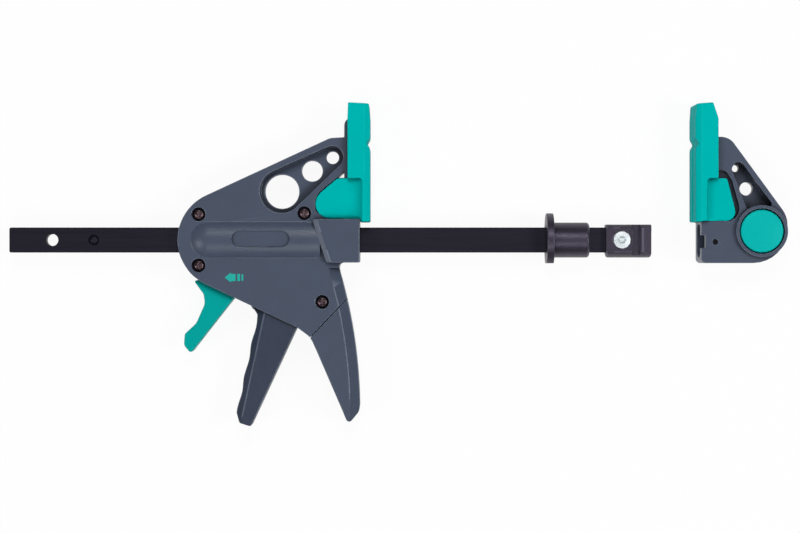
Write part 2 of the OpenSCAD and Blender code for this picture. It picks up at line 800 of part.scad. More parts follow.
module brake_spring() color(steel) at_head()
    coil(chamber_rear + coil_wire_d / 2 + cam_gap,
        -fulcrum_x - brake_plate_t / 2 - 0.35 - coil_wire_d / 2, brake_turns);

// Outline of the trigger: straight rear edge, and a finger edge with shallow waves
module trigger_outline()
    polygon(rounded(concat(
        trigger_corners,
        [for (i = [0:22])
            let (p = finger_top + (finger_low - finger_top) * i / 22)
            [p.x - finger_wave * sin(360 * (p.y - finger_top.y) / wave_l), p.y, 0]],
        [trigger_toe]
    )));

// Sloping cut along the trigger's finger edge, on the near side
module finger_bevel() {
    run = finger_low - finger_top;
    slope = trigger_bevel_d / trigger_bevel_w;
    out = 2 * finger_wave + past;
    translate(finger_top) rotate([0, 0, atan2(run.y, run.x)]) rotate([90, 0, 90])
        slab(-8, norm(run) + 12)
            polygon([
                [trigger_bevel_w, trigger_half],
                [-out, trigger_half - slope * (trigger_bevel_w + out)],
                [-out, trigger_half + past],
                [trigger_bevel_w, trigger_half + past]
            ]);
}

// The trigger is bevelled on both sides of its finger edge, and thinned round its hub
module trigger_lever() color(slate) at_head()
    difference() {
        union() {
            slab(-trigger_half, trigger_half) trigger_outline();
            slab(-hub_half, hub_half) {
                at(pivot) circle(hub_r);
                teardrop(pivot, cam_r, cam, cam_r);
            }
        }
        at(pivot) cylinder(d = trigger_pin_d + 2 * pin_gap, h = through, center = true);
        both_sides() {
            at(pivot) translate([0, 0, hub_half]) cylinder(r = hub_r + 0.5, h = through);
            finger_bevel();
        }
    }

module drive_plates() color(steel) at_head()
    for (i = [0:drive_plates_n - 1])
        translate([plates_front - drive_plate_t - i * plate_pitch, 0, 0])
            difference() {
                translate([0, cam.y - cam_r, -plate_half])
                    cube([drive_plate_t, 9.4 + cam_r - cam.y, 2 * plate_half]);
                bar_window(0);
            }

// Window for the bar through a plate, in the plate's own frame
module bar_window(lean) {
    half = (bar_w / 2 + slide_gap) / cos(lean) + brake_plate_t / 2 * tan(lean) + slide_gap / 2;
    translate([-through, -half, -bar_t / 2 - slide_gap])
        cube([2 * through, 2 * half, bar_t + 2 * slide_gap]);
}

module brake_plate() color(steel) at_head()
    translate([-fulcrum_x, fulcrum_y, 0]) rotate([0, 0, brake_lean])
        difference() {
            translate([-brake_plate_t / 2, -brake_drop, -plate_half])
                cube([brake_plate_t, brake_drop + 1.4, 2 * plate_half]);
            translate([0, -fulcrum_y / cos(brake_lean), 0]) bar_window(brake_lean);
        }

module release_lever() color(teal) at_head()
    difference() {
        slab(-release_half, release_half) {
            polygon(rounded(concat(
                release_corners,
                [[release_pivot.x, -release_y + release_boss_r, 0], release_top]
            )));
            at(release_pivot) circle(release_boss_r);
            teardrop(release_pivot, finger_r - 0.7, [finger_x, finger_y], finger_r);
        }
        at(release_pivot) cylinder(d = release_pin_d + 2 * pin_gap, h = through, center = true);
    }

// Flat steel bar with its hanging hole, rivet hole and screw hole
module bar() color(black)
    difference() {
        slab(-bar_t / 2, bar_t / 2)
            polygon(rounded([
                [-bar_back, -bar_w / 2, 1],
                [-bar_back, bar_w / 2, 1],
                [bar_front, bar_w / 2, 1],
                [bar_front, -bar_w / 2, 1]
            ]));
        translate([bar_hole_inset - bar_back, 0, 0]) cylinder(d = bar_hole_d, h = through, center = true);
        translate([stop_inset - bar_back, 0, 0])
            cylinder(d = stop_shank_d + 2 * press_gap, h = through, center = true);
        translate([plug_x + plug_screw_x, 0, 0])
            cylinder(d = plug_thread_d + 2 * seat_gap, h = through, center = true);
    }

// Rivet with a dome on each face of the bar, which keeps the head on the bar
module stop_rivet() color(black) translate([stop_inset - bar_back, 0, 0]) {
    dome_r = (stop_d * stop_d / 4 + stop_h * stop_h) / (2 * stop_h);
    cylinder(d = stop_shank_d, h = bar_t, center = true);
    both_sides() intersection() {
        translate([0, 0, bar_t / 2 + stop_h - dome_r]) rotate([90, 0, 0]) sphere(r = dome_r);
        translate([0, 0, bar_t / 2]) cylinder(d = stop_d + 1, h = stop_h + 1);
    }
}

// Cross-section of the end plug: round, with two flat sides and a keying flat on top
module plug_section(gap = 0)
    intersection() {
        circle(r = plug_r + gap);
        translate([-plug_half - gap, -plug_d]) square([2 * plug_half + 2 * gap, plug_d + plug_key + gap]);
    }

// Lays a section drawn in X and Y across the bar: its X along Z and its Y along Y
module across(from, to) translate([from, 0, 0]) rotate([0, 90, 0]) linear_extrude(to - from) children();

module end_plug() color(black)
    difference() {
        intersection() {
            across(plug_x, plug_end) plug_section();
            along_x(plug_x) cylinder(r1 = plug_r - 0.8, r2 = plug_r + plug_l - 0.8, h = plug_l);
            along_x(plug_x) cylinder(r1 = plug_r + plug_l - 0.8, r2 = plug_r - 0.8, h = plug_l);
        }
        translate([plug_x - 1, -bar_w / 2 - seat_gap, -bar_t / 2 - seat_gap])
            cube([bar_front + seat_gap + 1 - plug_x, bar_w + 2 * seat_gap, bar_t + 2 * seat_gap]);
        both_sides() {
            translate([latch_to - latch_w, -plug_d, latch_half]) cube([latch_w, 2 * plug_d, through]);
            rotate([90, 0, 0]) slab(-plug_d, plug_d)
                polygon([
                    [plug_end - 5, plug_half],
                    [plug_end + 1, latch_half - 0.5],
                    [plug_end + 1, plug_half + 1],
                    [plug_end - 5, plug_half + 1]
                ]);
        }
        translate([plug_x + plug_screw_x, 0, 0]) {
            cylinder(d = plug_thread_d + 2 * seat_gap, h = through, center = true);
            translate([0, 0, plug_seat]) cylinder(d = plug_head_d + 2 * seat_gap, h = through);
            mirror([0, 0, 1]) translate([0, 0, nut_seat])
                cylinder(d = (plug_nut_w + 2 * seat_gap) / cos(30), h = through, $fn = 6);
        }
    }

// Button-head screw with a hexagon socket
module plug_screw() color(zinc) translate([plug_x + plug_screw_x, 0, 0]) {
    dome_r = 8;
    difference() {
        intersection() {
            translate([0, 0, plug_seat]) cylinder(d = plug_head_d, h = plug_head_h);
            translate([0, 0, plug_seat + plug_head_h - dome_r]) sphere(r = dome_r);
        }
        translate([0, 0, plug_seat + plug_head_h * 0.4])
            cylinder(d = plug_thread_d * 0.7, h = through, $fn = 6);
    }
    translate([0, 0, -plug_half + 0.3]) cylinder(d = plug_thread_d, h = plug_half - 0.3 + plug_seat);
}

module plug_nut() color(zinc) translate([plug_x + plug_screw_x, 0, -nut_seat - plug_nut_h])
    difference() {
        cylinder(d = plug_nut_w / cos(30), h = plug_nut_h, $fn = 6);
        translate([0, 0, -1]) cylinder(d = plug_thread_d + 2 * press_gap, h = plug_nut_h + past);
    }

// Flanged bush that slides on the bar and drops into a bench hole
module table_spigot() color(black)
    difference() {
        union() {
            intersection() {
                along_x(-flange_t) cylinder(d = flange_d, h = flange_t);
                translate([-flange_t - 1, -flange_flat, -flange_d])
                    cube([flange_t + past, 2 * flange_d, 2 * flange_d]);
            }
            along_x(0) cylinder(d = barrel_d, h = barrel_l - 1);
            along_x(barrel_l - 1) cylinder(d1 = barrel_d, d2 = barrel_d - 2, h = 1);
        }
        along_x(-flange_t - 1) cylinder(d = 2 * (bar_corner + spigot_play), h = flange_t + barrel_l + past);
    }

module jaw_outline()
    polygon(rounded([
        [0, -foot_low, 2.5],
        [0, foot_top, 0],
        [jaw_tongue_front, foot_top, 0],
        [jaw_tongue_front, tongue_top, 1],
        [jaw_tongue_back - 1, tongue_top, 1.5],
        [jaw_tongue_back, jaw_crest.y, 0],
        [jaw_crest.x, jaw_crest.y, 9],
        [jaw_l, jaw_shoulder, 14],
        [jaw_l, -foot_low, 19]
    ], 8));

// Side lug of the jaw's pad
module jaw_lug()
    polygon(rounded([
        [lug_corners[0][0], foot_top + seat_gap, 0],
        [lug_corners[0][0], lug_top, 0],
        [lug_corners[0][1], lug_top, lug_corners[0][2]],
        [lug_corners[1][0], foot_top + seat_gap, lug_corners[1][1]]
    ]));

// Removable jaw: socket for the end plug, pocketed arm and button housing
module jaw_body() color(slate) at_jaw()
    difference() {
        union() {
            difference() {
                slab(-jaw_half, jaw_half) jaw_outline();
                both_sides() {
                    slab(web_half, through)
                        polygon(rounded(jaw_pocket));
                    slab(jaw_lug_floor - seat_gap, through)
                        polygon(rounded(concat(
                            [[-1, foot_top, 0], [-1, jaw_lug_recess[0].y, 0]], jaw_lug_recess
                        )));
                }
            }
            translate([button_x, button_y, -jaw_half]) cylinder(d = ring_d, h = 2 * jaw_half + ring_h);
        }
        across(-1, socket_depth) plug_section(socket_gap);
        translate([button_x, button_y, button_floor]) cylinder(d = button_d + 2 * button_gap, h = through);
        translate([button_x, button_y, -through]) cylinder(d = stem_d + 2 * socket_gap, h = 2 * through);
        translate(jaw_mid_hole) cylinder(d = 7.4, h = 2 * through, center = true);
        translate(jaw_small_hole) cylinder(d = 4, h = 2 * through, center = true);
        translate([7.8, -1.2, jaw_half - 3]) cylinder(d = 3.2, h = through);
        translate([-1, -4.6, 0]) cube([3.4, 7.2, through]);
        translate([latch_x - wire_r - 0.4, wire_arms[1] - wire_r - 0.5, -through])
            cube([wire_end + 1 - latch_x + wire_r, wire_arms[0] - wire_arms[1] + 2 * wire_r + 1,
                through + wire_z + wire_r + 0.2]);
        translate([latch_x - wire_r - 0.4, wire_arms[1] - wire_r - 0.5, -through])
            cube([2 * wire_r + 2.4, wire_arms[0] - wire_arms[1] + 2 * wire_r + 1, through - plug_half + 1]);
        for (p = cover_screw_places) at(p)
            translate([0, 0, -jaw_half - 1]) cylinder(d = cover_screw_d + 2 * press_gap, h = 5);
    }

module jaw_pad() color(teal) at_jaw() {
    translate([-jaw_proud, 0, 0])
        mirror([1, 0, 0])
            pad_block(jaw_proud, foot_top, jaw_half, jaw_front_taper, jaw_back_taper,
                jaw_panel_x, jaw_panel_run);
    both_sides() slab(jaw_lug_floor, jaw_half + 2 * seat_gap) {
        jaw_lug();
        translate([jaw_tongue_front - jaw_lug_root, foot_top + seat_gap])
            square([2 * jaw_lug_root, lug_top - foot_top - seat_gap]);
    }
}

// Bent wire that lies across the plug's groove and is pushed out of it by the button
module latch_spring() color(steel) at_jaw() {
    top = wire_arms[0];
    low = wire_arms[1];
    bend = 1.6;
    wire([
        [wire_end, top, wire_z], [latch_x + 2.4, top, wire_z], [latch_x + 0.5, top, wire_z + 0.8],
        [latch_x, top, latch_z - bend / 2], [latch_x, top - bend, latch_z], [latch_x, low + bend, latch_z],
        [latch_x, low, latch_z - bend / 2], [latch_x + 0.5, low, wire_z + 0.8],
        [latch_x + 2.4, low, wire_z], [wire_end, low, wire_z]
    ], wire_r, 8);
}

// Lid over the latch spring on the far side of the jaw
module jaw_cover() color(slate) at_jaw()
    difference() {
        slab(-jaw_half - jaw_cover_t, -jaw_half)
            polygon(rounded(jaw_lid));
        for (p = cover_screw_places) at(p)
            cylinder(d = cover_screw_d + 2 * seat_gap, h = through, center = true);
    }

module cover_screws() color(black) at_jaw()
    for (p = cover_screw_places) at(p) translate([0, 0, -jaw_half - jaw_cover_t]) mirror([0, 0, 1])
        difference() {
            union() {
                cylinder(d = 2 * cover_screw_d, h = 1.2);
                translate([0, 0, -jaw_cover_t - 3.5]) cylinder(d = cover_screw_d, h = jaw_cover_t + 3.5);
            }
            translate([0, 0, 0.5]) cylinder(d = cover_screw_d * 0.8, h = past, $fn = 6);
        }

// Push button with a crowned face and a stem down to the latch spring
module lock_button() color(teal) at_jaw() translate([button_x, button_y, 0]) {
    crown_r = 90;
    intersection() {
        translate([0, 0, button_low]) cylinder(d = button_d, h = button_t);
        translate([0, 0, button_top - crown_r]) rotate([90, 0, 0]) sphere(r = crown_r, $fn = 720);
    }
    translate([0, 0, stem_low]) cylinder(d = stem_d, h = button_low - stem_low + 0.5);
}

rear_housing();
front_cover();
housing_screws();
head_pad();
trigger_pin();
release_pin();
drive_spring();
brake_spring();
trigger_lever();
drive_plates();
release_lever();
brake_plate();
bar();
stop_rivet();
end_plug();
plug_screw();
plug_nut();
table_spigot();
jaw_body();
jaw_pad();
latch_spring();
jaw_cover();
cover_screws();
lock_button();
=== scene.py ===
# %% [markdown]
# # A one-hand table clamp on a white table
#
# The clamp was engineered in CAD: every shell, lever, pin and spring is already at its real size and
# in its real place. This lesson dresses it for a picture. We load the CAD pieces as a fixed frame,
# give each moulded piece the soft edges that a mould leaves, build the finishes from nodes, and light
# the whole like a catalogue page.

# %% Load the clamp
import json
import math

import bmesh
import bpy
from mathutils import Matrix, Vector
from mathutils.bvhtree import BVHTree


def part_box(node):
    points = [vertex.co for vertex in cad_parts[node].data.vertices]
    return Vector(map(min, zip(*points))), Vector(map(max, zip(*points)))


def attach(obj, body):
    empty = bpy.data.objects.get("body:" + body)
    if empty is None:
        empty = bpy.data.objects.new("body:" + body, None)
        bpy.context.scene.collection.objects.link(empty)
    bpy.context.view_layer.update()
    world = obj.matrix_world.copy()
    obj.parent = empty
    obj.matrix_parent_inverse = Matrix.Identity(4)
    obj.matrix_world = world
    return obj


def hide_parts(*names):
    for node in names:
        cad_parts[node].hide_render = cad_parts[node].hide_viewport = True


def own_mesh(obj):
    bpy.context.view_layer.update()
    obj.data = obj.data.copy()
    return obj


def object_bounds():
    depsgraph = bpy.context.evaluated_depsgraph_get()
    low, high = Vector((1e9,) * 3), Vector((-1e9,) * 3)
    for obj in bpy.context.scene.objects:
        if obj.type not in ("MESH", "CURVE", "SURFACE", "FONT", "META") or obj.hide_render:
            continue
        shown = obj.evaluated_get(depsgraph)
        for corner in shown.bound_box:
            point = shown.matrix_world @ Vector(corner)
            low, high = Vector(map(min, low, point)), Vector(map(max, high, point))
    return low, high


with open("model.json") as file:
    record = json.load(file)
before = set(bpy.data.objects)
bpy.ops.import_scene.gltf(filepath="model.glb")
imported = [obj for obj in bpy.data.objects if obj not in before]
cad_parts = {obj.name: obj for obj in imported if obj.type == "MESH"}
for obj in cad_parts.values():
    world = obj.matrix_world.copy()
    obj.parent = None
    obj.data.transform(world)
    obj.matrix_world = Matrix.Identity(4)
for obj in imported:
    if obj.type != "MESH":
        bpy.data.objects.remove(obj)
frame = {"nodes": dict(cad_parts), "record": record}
cad_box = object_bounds()
MM = 0.001
body_of_node = {
    node: body for body, nodes in frame["record"]["behaviour"]["bodies"].items() for node in nodes
}

# %% [markdown]
# ## The camera
#
# The picture looks straight down on the clamp as it lies on its side. A long lens far away keeps the
# pads and the handle from leaning outwards. The width of the view at the bar gives the focal length:
# the sensor is to the lens as the view is to the distance.

# %% Camera
VIEW_CENTRE = (-85.7 * MM, -14.8 * MM)
VIEW_WIDTH = 448 * MM
CAMERA_HEIGHT = 1250 * MM
SENSOR_MM = 36.0

camera_data = bpy.data.cameras.new("table_camera")
camera_data.sensor_width = SENSOR_MM
camera_data.lens = SENSOR_MM * CAMERA_HEIGHT / VIEW_WIDTH
camera = bpy.data.objects.new("table_camera", camera_data)
camera.location = (*VIEW_CENTRE, CAMERA_HEIGHT)
bpy.context.scene.collection.objects.link(camera)
bpy.context.scene.camera = camera
print("lens", round(camera_data.lens, 2), "mm")

# %% [markdown]
# ## Colours
#
# Colours are written as the hex values that a paint chart gives, and shaders want linear light, so one
# function converts them. No real surface has one even colour, so a second function gives a darker and
# a lighter shade, and each finish then wanders between the two.

# %% Colours
def linear(code):
    """Linear colour of an sRGB hex code."""
    channels = [int(code[i:i + 2], 16) / 255 for i in (1, 3, 5)]
    light = [c / 12.92 if c <= 0.04045 else ((c + 0.055) / 1.055) ** 2.4 for c in channels]
    return (*light, 1.0)


def shades(code, darker, lighter):
    """A darker and a lighter shade of a colour, as shares of its light."""
    base = linear(code)[:3]
    return [(*[min(1.0, c * share) for c in base], 1.0) for share in (darker, lighter)]


print("mid grey in linear light", round(linear("#808080")[0], 3))

# %% [markdown]
# ## Nodes
#
# A small function adds a node, sets it up and links it in one go, which keeps each finish short enough
# to read. A Mix node has separate sockets for numbers, vectors and colours under the same names, so its
# colour sockets are called by their places in the row.

# %% Nodes
MIX_A = 6
MIX_B = 7
MIX_OUT = 2


def add(tree, kind, inputs=None, **settings):
    """A new node with its settings; an input is a value, or the output socket that feeds it."""
    node = tree.nodes.new(kind)
    for key, value in settings.items():
        setattr(node, key, value)
    for key, value in (inputs or {}).items():
        if isinstance(value, bpy.types.NodeSocket):
            tree.links.new(value, node.inputs[key])
        else:
            node.inputs[key].default_value = value
    return node


def new_material(name):
    """An empty node material and its tree, with a Principled shader joined to the output."""
    material = bpy.data.materials.new(name)
    material.use_nodes = True
    tree = material.node_tree
    tree.nodes.clear()
    shader = add(tree, "ShaderNodeBsdfPrincipled")
    add(tree, "ShaderNodeOutputMaterial", {"Surface": shader.outputs["BSDF"]})
    return material, tree, shader


def per_metre(size_mm):
    """Noise scale that gives features of this size."""
    return 1.0 / (size_mm * MM)


print("scale of a 1 mm grain", per_metre(1.0))

# %% [markdown]
# ## Moulded plastics and rubber
#
# The shells are glass-filled nylon from a spark-eroded mould, so they have a fine even grain that
# breaks the light up and leaves hardly any mirror shine. The grain is really about 0.2 mm and is drawn
# at about 1 mm, or it would vanish between two pixels. Flow marks make slow cloudy changes over a few
# centimetres. The edges are painted a little lighter, partly for the wear of handling and partly as a
# painted highlight on the rounded edges: an attribute called rubbed_sheen, which the rounding step below
# leaves on the mesh, says where. An Ambient Occlusion node darkens the colour in corners and recesses,
# which is painted shade. All moulded finishes share this recipe, so it is one function with the colour,
# grain and gloss as its knobs.

# %% Recipe for a moulded finish
PLASTIC_IOR = 1.5
CLOUD_MM = 22.0
# The noise of the grain seldom leaves this range, and the gloss goes up and down with it.
GRAIN_RANGE = (0.3, 0.7)
GRAIN_BUMP = 0.35
GLOSS_SPREAD = 0.06
# How far the painted shade of a corner reaches, how open the corner is at its darkest and at its end, and
# how dark the painted shade gets.
CORNER_MM = 9.0
CORNER_RANGE = (0.35, 0.9)
CORNER_DARK = 0.22


def moulded(name, colour, worn_sheen, grain_mm, grain_depth_mm, rough, shine, cloud=0.10, tint="#ffffff"):
    """Moulded plastic or rubber: cloudy colour, edges painted lighter for wear and highlight, painted shade
    in corners, fine grain in the bump.
    """
    material, tree, shader = new_material(name)
    place = add(tree, "ShaderNodeTexCoord").outputs["Object"]
    clouds = add(tree, "ShaderNodeTexNoise", {
        "Vector": place, "Scale": per_metre(CLOUD_MM), "Detail": 3.0}).outputs["Fac"]
    grain = add(tree, "ShaderNodeTexNoise", {
        "Vector": place, "Scale": per_metre(grain_mm), "Detail": 2.0}).outputs["Fac"]

    dark, light = shades(colour, 1 - cloud, 1 + cloud)
    tone = add(tree, "ShaderNodeMix", {"Factor": clouds, MIX_A: dark, MIX_B: light}, data_type="RGBA")
    # The edges are painted lighter towards the worn colour: partly wear, partly a painted highlight on the
    # rounded edges.
    edge = add(tree, "ShaderNodeAttribute", attribute_name="rubbed_sheen").outputs["Fac"]
    patchy = add(tree, "ShaderNodeMath", {0: edge, 1: clouds}, operation="MULTIPLY")
    rubbed_sheen = add(tree, "ShaderNodeMix", {
        "Factor": patchy.outputs[0], MIX_A: tone.outputs[MIX_OUT], MIX_B: linear(worn_sheen)}, data_type="RGBA")
    # Painted shade: an Ambient Occlusion node darkens the colour in corners and recesses.
    corner = add(tree, "ShaderNodeAmbientOcclusion", {"Distance": CORNER_MM * MM}, samples=8)
    corner_painted_shade = add(tree, "ShaderNodeMapRange", {
        "Value": corner.outputs["AO"], "From Min": CORNER_RANGE[0], "From Max": CORNER_RANGE[1],
        "To Min": CORNER_DARK, "To Max": 1.0})
    skin = add(tree, "ShaderNodeMix", {
        "Factor": 1.0, MIX_A: rubbed_sheen.outputs[MIX_OUT], MIX_B: corner_painted_shade.outputs["Result"]},
        data_type="RGBA", blend_type="MULTIPLY")

    gloss = add(tree, "ShaderNodeMapRange", {
        "Value": grain, "From Min": GRAIN_RANGE[0], "From Max": GRAIN_RANGE[1],
        "To Min": rough - GLOSS_SPREAD, "To Max": rough + GLOSS_SPREAD})
    bump = add(tree, "ShaderNodeBump", {
        "Height": grain, "Strength": GRAIN_BUMP, "Distance": grain_depth_mm * MM})
    tree.links.new(skin.outputs[MIX_OUT], shader.inputs["Base Color"])
    tree.links.new(gloss.outputs["Result"], shader.inputs["Roughness"])
    tree.links.new(bump.outputs["Normal"], shader.inputs["Normal"])
    shader.inputs["IOR"].default_value = PLASTIC_IOR
    shader.inputs["Specular IOR Level"].default_value = shine
    shader.inputs["Specular Tint"].default_value = linear(tint)
    return material


print("clouds mm", CLOUD_MM, "corners mm", CORNER_MM)

# %% [markdown]
# ## The six moulded finishes
#
# The shells and the trigger are slate nylon, the trigger from a darker batch. The pads are soft rubber,
# which has next to no shine, and the button and the release lever are harder teal plastics that mirror
# a little more. The plug and the spigot are smooth black nylon. The teal and black ones tint their shine
# too, because the pigment lies right under the skin and a white shine would make them look chalky.

# %% Moulded finishes
# Glass fibres dull the skin, so the eye sees a satin blue grey, painted paler on the edges, partly for wear
# and partly as a painted highlight.
slate_nylon = moulded(
    "slate_glass_filled_nylon_spark_grained", "#454e60", "#858e9e",
    grain_mm=0.9, grain_depth_mm=0.08, rough=0.36, shine=0.27)
# The same nylon with more black in it, which sets the trigger off from the handle.
trigger_nylon = moulded(
    "dark_slate_glass_filled_nylon_spark_grained", "#31394b", "#778091",
    grain_mm=0.9, grain_depth_mm=0.08, rough=0.36, shine=0.35)
# Rubber swallows the light, so the pads look even, full in colour and soft.
teal_rubber = moulded(
    "teal_thermoplastic_rubber_moulded", "#00b1ad", "#12bdb8",
    grain_mm=1.2, grain_depth_mm=0.05, rough=0.6, shine=0.03, cloud=0.05, tint="#30c8c0")
# ABS leaves the mould smoother than rubber, and its faint shine shows that the button is crowned.
teal_button = moulded(
    "teal_abs_moulded", "#00b0ab", "#12bdb8",
    grain_mm=1.2, grain_depth_mm=0.03, rough=0.42, shine=0.3, cloud=0.05, tint="#70dcd6")
# Nylon takes the teal pigment a little darker than rubber does, with a satin face.
teal_lever = moulded(
    "teal_nylon_moulded", "#009d98", "#12b0a8",
    grain_mm=1.2, grain_depth_mm=0.03, rough=0.42, shine=0.3, cloud=0.05, tint="#60d4cc")
# Unfilled black nylon is nearly black in itself and mirrors the lamps as soft violet-grey lights.
black_nylon = moulded(
    "black_nylon_moulded", "#242029", "#5a5662",
    grain_mm=1.0, grain_depth_mm=0.05, rough=0.41, shine=0.9, tint="#cdc2e0")
plastics = (slate_nylon, trigger_nylon, teal_rubber, teal_button, teal_lever, black_nylon)
print("moulded finishes", [material.name for material in plastics])

# %% [markdown]
# ## Steels
#
# The bar is flat steel with a black oxide coat: dark, satin, with faint rolling lines along its length.
# The plug's screw is bright zinc. The housing's screws are black steel with a lighter brown crown, partly
# their own colour and partly a painted highlight, and a near-black collar darkened as painted shade. The
# springs and plates inside are plain oiled steel. A metal keeps the shader's default IOR, because its
# colour already says how it reflects. One stretched noise gives the streaks in the colour, the gloss and
# the bump, so that the three agree.

# %% Steel finishes
STREAK_SHADES = (0.8, 1.25)
STREAK_GLOSS = 0.08
STREAK_BUMP = 0.15
STREAK_DEPTH = 0.02 * MM


def steel(name, colour, rough, streak_mm, streak_along=1.0, metallic=1.0):
    """Metal with fine streaks along X; streak_along stretches them."""
    material, tree, shader = new_material(name)
    place = add(tree, "ShaderNodeTexCoord").outputs["Object"]
    drawn = add(tree, "ShaderNodeMapping", {"Vector": place, "Scale": (1.0 / streak_along, 1.0, 1.0)})
    lines = add(tree, "ShaderNodeTexNoise", {
        "Vector": drawn.outputs["Vector"], "Scale": per_metre(streak_mm), "Detail": 3.0}).outputs["Fac"]
    dark, light = shades(colour, *STREAK_SHADES)
    tone = add(tree, "ShaderNodeMix", {"Factor": lines, MIX_A: dark, MIX_B: light}, data_type="RGBA")
    gloss = add(tree, "ShaderNodeMapRange", {
        "Value": lines, "To Min": rough - STREAK_GLOSS, "To Max": rough + STREAK_GLOSS})
    bump = add(tree, "ShaderNodeBump", {
        "Height": lines, "Strength": STREAK_BUMP, "Distance": STREAK_DEPTH})
    tree.links.new(tone.outputs[MIX_OUT], shader.inputs["Base Color"])
    tree.links.new(gloss.outputs["Result"], shader.inputs["Roughness"])
    tree.links.new(bump.outputs["Normal"], shader.inputs["Normal"])
    shader.inputs["Metallic"].default_value = metallic
    return material


# The oxide coat is almost black, and long faint lines tell that the bar was rolled.
black_oxide = steel("black_oxide_steel_rolled", "#27262f", rough=0.5, streak_mm=1.2, streak_along=40.0)
# Fresh zinc is pale and a little milky, so it is less than fully metallic.
bright_zinc = steel("bright_zinc_plated_steel", "#d2d9dc", rough=0.5, streak_mm=1.0, metallic=0.6)
# The crowns are a lighter brown, partly the screws' own colour and partly a painted highlight.
crown_sheen_steel = steel("black_screw_steel_crown_painted_sheen", "#5a4b50", rough=0.36, streak_mm=1.0)
# The collars are near black, the oxide's own colour darkened as painted shade, and look like a dark ring
# round each crown.
collar_shade_steel = steel("black_oxide_screw_steel_collar_painted_shade", "#141217", rough=0.5, streak_mm=1.0)
# Drawn wire and blanked plates with a film of oil are a plain mid grey.
oiled_steel = steel("oiled_spring_steel_drawn", "#8b8d92", rough=0.35, streak_mm=0.8)
steels = (black_oxide, bright_zinc, crown_sheen_steel, collar_shade_steel, oiled_steel)
print("steels", [material.name for material in steels])

# %% [markdown]
# ## Getting a CAD mesh ready
#
# CAD edges are perfectly sharp, and no moulded edge is. To round them we copy the CAD piece's mesh into
# a BMesh, which Python can edit directly, and join the triangles of each flat face again. Edges that
# turn by more than a set angle are the ones to round. Long ones are cut into stretches, so that a place
# where the rounding fails leaves one stretch sharp and not the whole edge.

# %% Getting a CAD mesh ready
WELD = 0.01 * MM
FLAT_TURN = math.radians(0.5)
CREASE = math.radians(21)
STRETCH = 4 * MM


def joined_faces(node):
    """A mesh in the making: the CAD node with the triangles of each flat face joined."""
    shape = bmesh.new()
    shape.from_mesh(frame["nodes"][node].data)
    bmesh.ops.remove_doubles(shape, verts=shape.verts, dist=WELD)
    bmesh.ops.dissolve_degenerate(shape, dist=WELD, edges=shape.edges)
    bmesh.ops.dissolve_limit(shape, angle_limit=FLAT_TURN, verts=shape.verts, edges=shape.edges)
    return shape


def turns_sharply(edge):
    """True for an edge that is to be rounded."""
    return edge.is_manifold and edge.calc_face_angle() > CREASE


def cut_long_edges(shape):
    """Cuts each long sharp edge into stretches."""
    for edge in [e for e in shape.edges if turns_sharply(e) and e.calc_length() > 2 * STRETCH]:
        bmesh.ops.subdivide_edges(shape, edges=[edge], cuts=int(edge.calc_length() / STRETCH))


plain_bar = joined_faces("bar")
print("bar triangles", len(frame["nodes"]["bar"].data.polygons), "joined", len(plain_bar.faces))
plain_bar.free()

# %% [markdown]
# ## Rounding the moulded edges
#
# Where a wall runs out to a needle point, a bevel has no room: it throws a thorn off the surface, or
# folds a face over itself. So we look for points far from the CAD surface and for folded faces, leave
# the edges at such places sharp, and try again with a little more room each time. A Bevel modifier is
# quicker to set up, but it can't be told about those places. How deep a rounded edge lies under the
# sharp one is kept as the rubbed_sheen attribute. The moulded finishes use it to paint the edges
# lighter, partly as wear and partly as a painted highlight.

# %% Finding what a bevel has spoiled
# As shares of the rounding: how far a point may stray, and how deep a point lies whose edge is painted fully
# lighter, for wear and painted highlight.
STRAY = 2.0
RUBBED_SHEEN_SHARE = 0.12
# A triangle is folded when it leans 60 degrees off its face, whose cosine this is, unless it is tiny.
FOLD = 0.5
SLIVER = 0.01 * MM * MM


def stray_points(shape, surface, reach):
    """Points that a bevel has thrown off the CAD surface."""
    return {v for v in shape.verts if surface.find_nearest(v.co)[3] > STRAY * reach}


def folded_points(shape):
    """Points of the faces that lie partly upside down, slivers apart."""
    points = set()
    for loops in shape.calc_loop_triangles():
        a, b, c = (loop.vert.co for loop in loops)
        across = (b - a).cross(c - a)
        if across.length > 2 * SLIVER and across.normalized().dot(loops[0].face.normal) < FOLD:
            points.update(loop.vert for loop in loops)
    return points


def mark_rubbed_sheen(shape, surface, reach):
    """Notes on each point how deep it lies under the sharp CAD surface, which sets how far its edge is
    painted lighter for wear and painted highlight.
    """
    rubbed_sheen = shape.verts.layers.float.new("rubbed_sheen")
    for vert in shape.verts:
        near, normal, _, depth = surface.find_nearest(vert.co)
        inside = (vert.co - near).dot(normal) < 0
        vert[rubbed_sheen] = min(1.0, depth / (RUBBED_SHEEN_SHARE * reach)) if inside else 0.0


plain_bar = joined_faces("bar")
print("folded points in the plain bar", len(folded_points(plain_bar)))
plain_bar.free()

# %% Rounding one piece
TRIES = 10
# Room kept round a spoiled place, as a share of the rounding, and what each new try adds to it.
NEAR = 1.2
WIDEN = 0.4
ROUND_STEPS = 2


